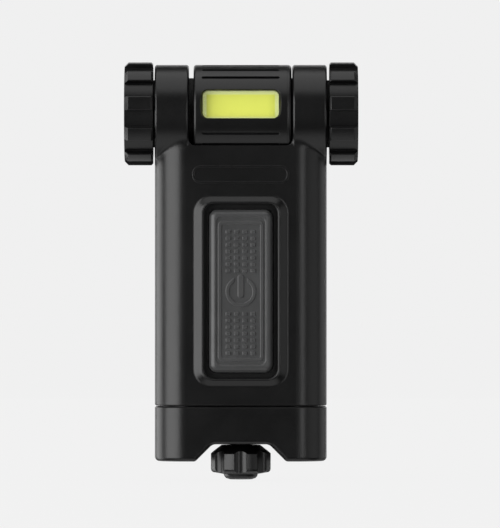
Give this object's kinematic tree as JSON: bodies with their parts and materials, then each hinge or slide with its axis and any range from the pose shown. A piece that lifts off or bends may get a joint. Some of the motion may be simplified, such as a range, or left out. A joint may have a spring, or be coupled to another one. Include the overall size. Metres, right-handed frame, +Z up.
{
  "type": "right-angle flashlight",
  "caption": "Flat two-cell flashlight with a pivoting lamp drum between round ears, fluted turning wheels, a large button, a base cap with thumbscrew and a sprung back clip.",
  "frame": {"origin": "middle of the clip's gap, on the body's back face: the point where a strap or pocket edge holds the flashlight", "axes": "+X to the right seen from the button side, +Y out of the back towards the clip, +Z up along the body towards the lamp"},
  "size_m": [0.0678, 0.0353, 0.1215],
  "materials": {
    "black_shell_plastic": "fine moulded texture, satin",
    "black_head_plastic": "fine moulded texture, satin",
    "black_wheel_plastic": "satin, slightly glossy lobes",
    "grey_button_rubber": "matt moulded rubber",
    "black_rubber": "matt",
    "white_plastic": "satin",
    "bearing_plastic": "satin",
    "lens_clear": "clear polycarbonate",
    "phosphor_yellow": "silicone phosphor",
    "board_white": "white solder mask",
    "board_green": "solder mask",
    "chip_black": "moulded",
    "aluminium": "machined",
    "stainless": "brushed",
    "black_steel": "black coated, worn edges",
    "spring_steel": "drawn wire",
    "plated_contact": "nickel plated",
    "brass": "knurled",
    "cell_jacket": "shrink sleeve"
  },
  "bodies": {
    "body": {"body_shell": "black_shell_plastic", "bush_left": "bearing_plastic", "bush_right": "bearing_plastic", "tact_switch": "chip_black", "driver_board": "board_green", "board_components": "chip_black", "lamp_strip_left": "plated_contact", "lamp_strip_right": "plated_contact", "upper_contact_left": "plated_contact", "upper_contact_right": "plated_contact", "upper_spring": "spring_steel", "threaded_insert": "brass", "clip_bracket": "stainless", "bracket_screws": "stainless", "clip_pin": "stainless", "clip_spring": "spring_steel"},
    "head": {"lamp_drum": "black_head_plastic", "drum_end_cap": "black_head_plastic", "end_cap_screws": "stainless", "lens": "lens_clear", "lens_gasket": "black_rubber", "led_phosphor": "phosphor_yellow", "led_board": "board_white", "heat_spreader": "aluminium", "stub_axle_left": "aluminium", "stub_axle_right": "aluminium", "wave_washer": "black_rubber", "drum_wiper": "black_rubber", "wheel_seal_left": "black_rubber", "wheel_seal_right": "black_rubber", "wheel_left": "black_wheel_plastic", "wheel_right": "black_wheel_plastic", "wheel_screw_left": "stainless", "wheel_screw_right": "stainless"},
    "button": {"button_pad": "grey_button_rubber", "button_core": "white_plastic", "switch_plunger": "white_plastic"},
    "base": {"base_cap": "black_shell_plastic", "base_seal": "black_rubber", "contact_bridge": "plated_contact", "lower_spring": "spring_steel", "thumbscrew_oring": "black_rubber", "cell_left": "cell_jacket", "cell_right": "cell_jacket"},
    "thumbscrew": {"thumbscrew_knob": "black_wheel_plastic", "thumbscrew_stud": "stainless", "retaining_ring": "spring_steel"},
    "belt_clip": {"clip": "black_steel"}
  },
  "joints": [
    {"name": "head_tilt", "type": "hinge", "parent": "body", "child": "head", "pos_m": [0, -0.0115, 0.056], "axis": [-1, 0, 0], "range_deg": [-11, 169]},
    {"name": "button_press", "type": "slide", "parent": "body", "child": "button", "axis": [0, 1, 0], "range_m": [0, 0.0006], "stiffness_N_per_m": 3000, "springref_m": -0.0003},
    {"name": "base_cap_slide", "type": "slide", "parent": "body", "child": "base", "axis": [0, 0, -1], "range_m": [0, 0.056]},
    {"name": "thumbscrew_turn", "type": "hinge", "parent": "base", "child": "thumbscrew", "pos_m": [0, -0.0115, -0.045], "axis": [0, 0, -1], "continuous": true},
    {"name": "clip_swing", "type": "hinge", "parent": "body", "child": "belt_clip", "pos_m": [0, 0.0045, 0.027], "axis": [1, 0, 0], "range_deg": [0, 24], "stiffness_Nm_per_rad": 0.15, "springref_deg": -17.19}
  ]
}
